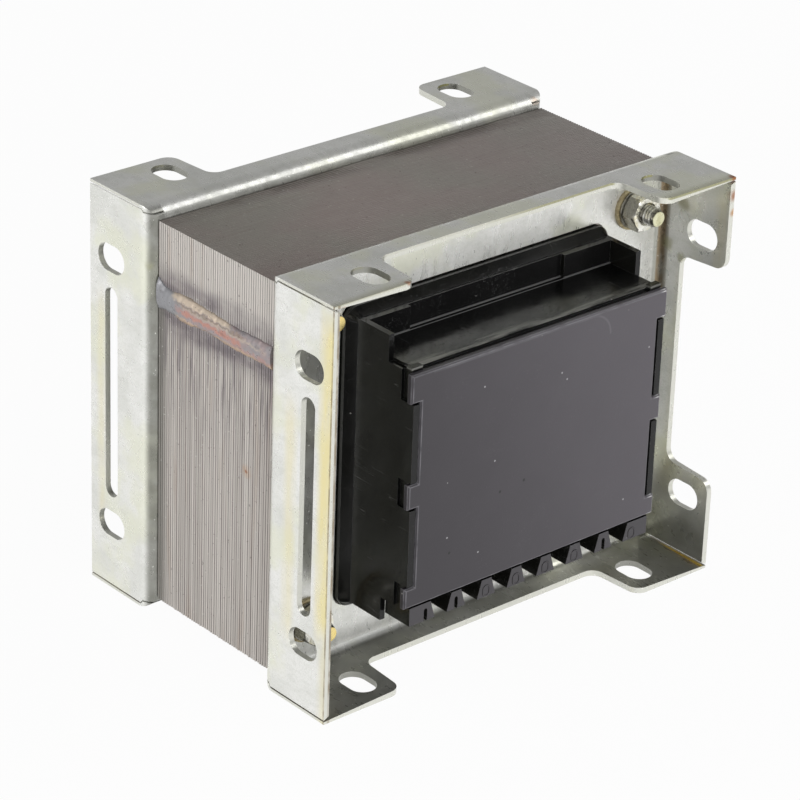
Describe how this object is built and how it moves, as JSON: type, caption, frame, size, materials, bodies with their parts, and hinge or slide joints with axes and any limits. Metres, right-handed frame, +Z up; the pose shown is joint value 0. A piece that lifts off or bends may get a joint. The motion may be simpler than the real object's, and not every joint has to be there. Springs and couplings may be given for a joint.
{
  "type": "chassis mount transformer",
  "caption": "Laminated-core transformer held between two folded, slotted steel frames, with a moulded terminal hood and cover on its front.",
  "frame": {"origin": "on the mounting plane, under the middle of the laminated stack", "axes": "+Z up from the mounting plane; +X across the width of the core, to the right seen from the terminals; -Y towards the terminals"},
  "size_m": [0.0996, 0.0733, 0.085],
  "materials": {
    "zinc_sheet": "zinc plated, passivated",
    "core_sheet": "varnished sheet edges",
    "weld_metal": "heat tinted",
    "black_moulding": "smooth moulded",
    "cover_moulding": "fine satin",
    "winding_copper": "enamelled",
    "insulating_film": "clear yellow film",
    "fibre_board": "pressed fibre",
    "tinned_metal": "tinned",
    "fastener_steel": "zinc plated, yellow passivated"
  },
  "bodies": {
    "root": {"front_frame": "zinc_sheet", "rear_frame": "zinc_sheet", "e_laminations": "core_sheet", "i_laminations": "core_sheet", "weld_bead_left": "weld_metal", "weld_bead_right": "weld_metal", "coil_former": "black_moulding", "terminal_hood": "black_moulding", "rear_hood": "black_moulding", "front_cover": "cover_moulding", "primary_winding": "winding_copper", "secondary_winding": "winding_copper", "interlayer_insulation": "insulating_film", "outer_wrap": "insulating_film", "terminal_tags": "tinned_metal", "winding_leads": "tinned_metal", "through_bolts": "fastener_steel", "hex_nuts": "fastener_steel", "steel_washers": "fastener_steel", "fibre_washers": "fibre_board"}
  },
  "joints": []
}
